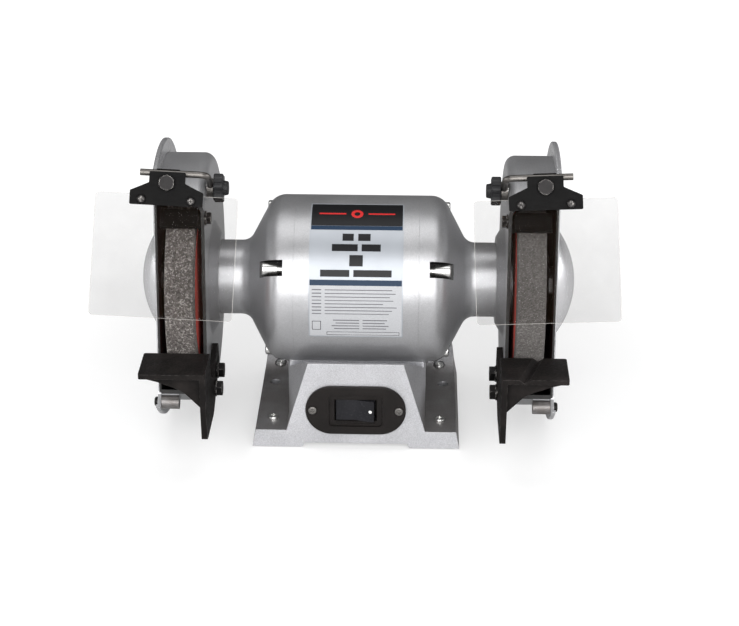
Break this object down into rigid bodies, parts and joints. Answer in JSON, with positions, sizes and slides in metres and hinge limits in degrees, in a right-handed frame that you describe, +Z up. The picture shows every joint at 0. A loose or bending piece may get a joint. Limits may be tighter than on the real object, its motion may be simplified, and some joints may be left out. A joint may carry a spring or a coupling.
{
  "type": "bench grinder",
  "caption": "Double-ended bench grinder: cast base, round motor, two guarded wheels, tool rests, spark arresters and clear eye shields.",
  "frame": {"origin": "on the bench, under the middle of the machine's outline", "axes": "+X along the spindle to the right-hand wheel, +Y to the back, +Z up"},
  "size_m": [0.4636, 0.273, 0.2669],
  "materials": {
    "base_paint": "fine silver-grey hammer paint on cast aluminium",
    "silver_paint": "metallic silver paint",
    "zinc_sheet": "zinc plated",
    "zinc_hardware": "zinc plated",
    "zinc_rod": "zinc plated wire",
    "rubber": "moulded",
    "capacitor_can": "drawn can",
    "black_plastic": "moulded",
    "rocker_plastic": "moulded",
    "label_foil": "printed foil, no text",
    "lamination_steel": "stacked sheets",
    "copper_winding": "enamelled copper",
    "ground_steel": "ground",
    "flange_steel": "pressed steel",
    "blotter_paper": "red blotting paper",
    "coarse_abrasive": "coarse vitrified grit",
    "fine_abrasive": "fine vitrified grit",
    "black_hardware": "black oxide",
    "black_casting": "black paint on cast iron",
    "black_sheet": "black enamel on sheet steel",
    "clear_sheet": "clear moulded polycarbonate"
  },
  "bodies": {
    "root": {"base_casting": "base_paint", "base_bottom_plate": "zinc_sheet", "bottom_plate_screws": "zinc_hardware", "rubber_feet": "rubber", "foot_screws": "zinc_hardware", "motor_mount_bolts": "zinc_hardware", "capacitor": "capacitor_can", "capacitor_clamp": "zinc_sheet", "cord_gland": "black_plastic", "switch_plate": "black_plastic", "switch_plate_screws": "zinc_hardware", "switch_body": "black_plastic", "motor_shell": "silver_paint", "left_end_bell": "silver_paint", "right_end_bell": "silver_paint", "through_bolts": "zinc_hardware", "nameplate": "label_foil", "stator_core": "lamination_steel", "stator_windings": "copper_winding", "bearing_outer_rings": "ground_steel", "preload_washer": "ground_steel", "left_inner_guard": "silver_paint", "right_inner_guard": "silver_paint", "left_outer_cover": "silver_paint", "right_outer_cover": "silver_paint", "guard_screws": "zinc_hardware", "cover_screws": "zinc_hardware", "rest_bolts": "black_hardware", "pivot_studs": "zinc_hardware"},
    "rotor": {"shaft": "ground_steel", "rotor_core": "lamination_steel", "bearing_inner_races": "ground_steel", "left_inner_flange": "flange_steel", "right_inner_flange": "flange_steel", "left_wheel": "coarse_abrasive", "right_wheel": "fine_abrasive", "left_outer_flange": "flange_steel", "right_outer_flange": "flange_steel", "blotters": "blotter_paper", "left_spindle_nut": "zinc_hardware", "right_spindle_nut": "zinc_hardware"},
    "switch_rocker": {"switch_rocker": "rocker_plastic"},
    "left_tool_rest": {"left_tool_rest": "black_casting"},
    "left_spark_arrester": {"left_spark_arrester": "black_sheet", "left_arrester_bolt": "black_hardware"},
    "left_shield_arm": {"left_shield_arm": "zinc_rod"},
    "left_clamp_knob": {"left_clamp_knob": "black_plastic"},
    "left_eye_shield": {"left_eye_shield": "clear_sheet", "left_shield_clamp": "black_sheet", "left_shield_bolts": "black_hardware"},
    "right_tool_rest": {"right_tool_rest": "black_casting"},
    "right_spark_arrester": {"right_spark_arrester": "black_sheet", "right_arrester_bolt": "black_hardware"},
    "right_shield_arm": {"right_shield_arm": "zinc_rod"},
    "right_clamp_knob": {"right_clamp_knob": "black_plastic"},
    "right_eye_shield": {"right_eye_shield": "clear_sheet", "right_shield_clamp": "black_sheet", "right_shield_bolts": "black_hardware"}
  },
  "joints": [
    {"name": "spindle_spin", "type": "hinge", "parent": "root", "child": "rotor", "pos_m": [0, 0.0085, 0.138], "axis": [1, 0, 0], "continuous": true},
    {"name": "switch_rock", "type": "hinge", "parent": "root", "child": "switch_rocker", "pos_m": [0, -0.064, 0.04], "axis": [0, 0, 1], "range_deg": [0, 16]},
    {"name": "left_rest_slide", "type": "slide", "parent": "root", "child": "left_tool_rest", "axis": [0, -0.9203, -0.3911], "range_m": [0, 0.014]},
    {"name": "left_arrester_slide", "type": "slide", "parent": "root", "child": "left_spark_arrester", "axis": [0, -0.6062, 0.7953], "range_m": [0, 0.004]},
    {"name": "left_arm_pivot", "type": "hinge", "parent": "root", "child": "left_shield_arm", "pos_m": [-0.1303, -0.0225, 0.238], "axis": [1, 0, 0], "range_deg": [-70, 0]},
    {"name": "left_knob_turn", "type": "hinge", "parent": "root", "child": "left_clamp_knob", "pos_m": [-0.122, -0.0225, 0.238], "axis": [1, 0, 0], "range_deg": [0, 180]},
    {"name": "left_shield_tilt", "type": "hinge", "parent": "left_shield_arm", "child": "left_eye_shield", "pos_m": [-0.1643, -0.0511, 0.2624], "axis": [0.999, 0, -0.0436], "range_deg": [-60, 0]},
    {"name": "right_rest_slide", "type": "slide", "parent": "root", "child": "right_tool_rest", "axis": [0, -0.9203, -0.3911], "range_m": [0, 0.014]},
    {"name": "right_arrester_slide", "type": "slide", "parent": "root", "child": "right_spark_arrester", "axis": [0, -0.6062, 0.7953], "range_m": [0, 0.004]},
    {"name": "right_arm_pivot", "type": "hinge", "parent": "root", "child": "right_shield_arm", "pos_m": [0.1303, -0.0225, 0.238], "axis": [1, 0, 0], "range_deg": [-70, 0]},
    {"name": "right_knob_turn", "type": "hinge", "parent": "root", "child": "right_clamp_knob", "pos_m": [0.122, -0.0225, 0.238], "axis": [1, 0, 0], "range_deg": [0, 180]},
    {"name": "right_shield_tilt", "type": "hinge", "parent": "right_shield_arm", "child": "right_eye_shield", "pos_m": [0.1643, -0.0511, 0.2624], "axis": [0.999, 0, 0.0436], "range_deg": [-60, 0]}
  ]
}
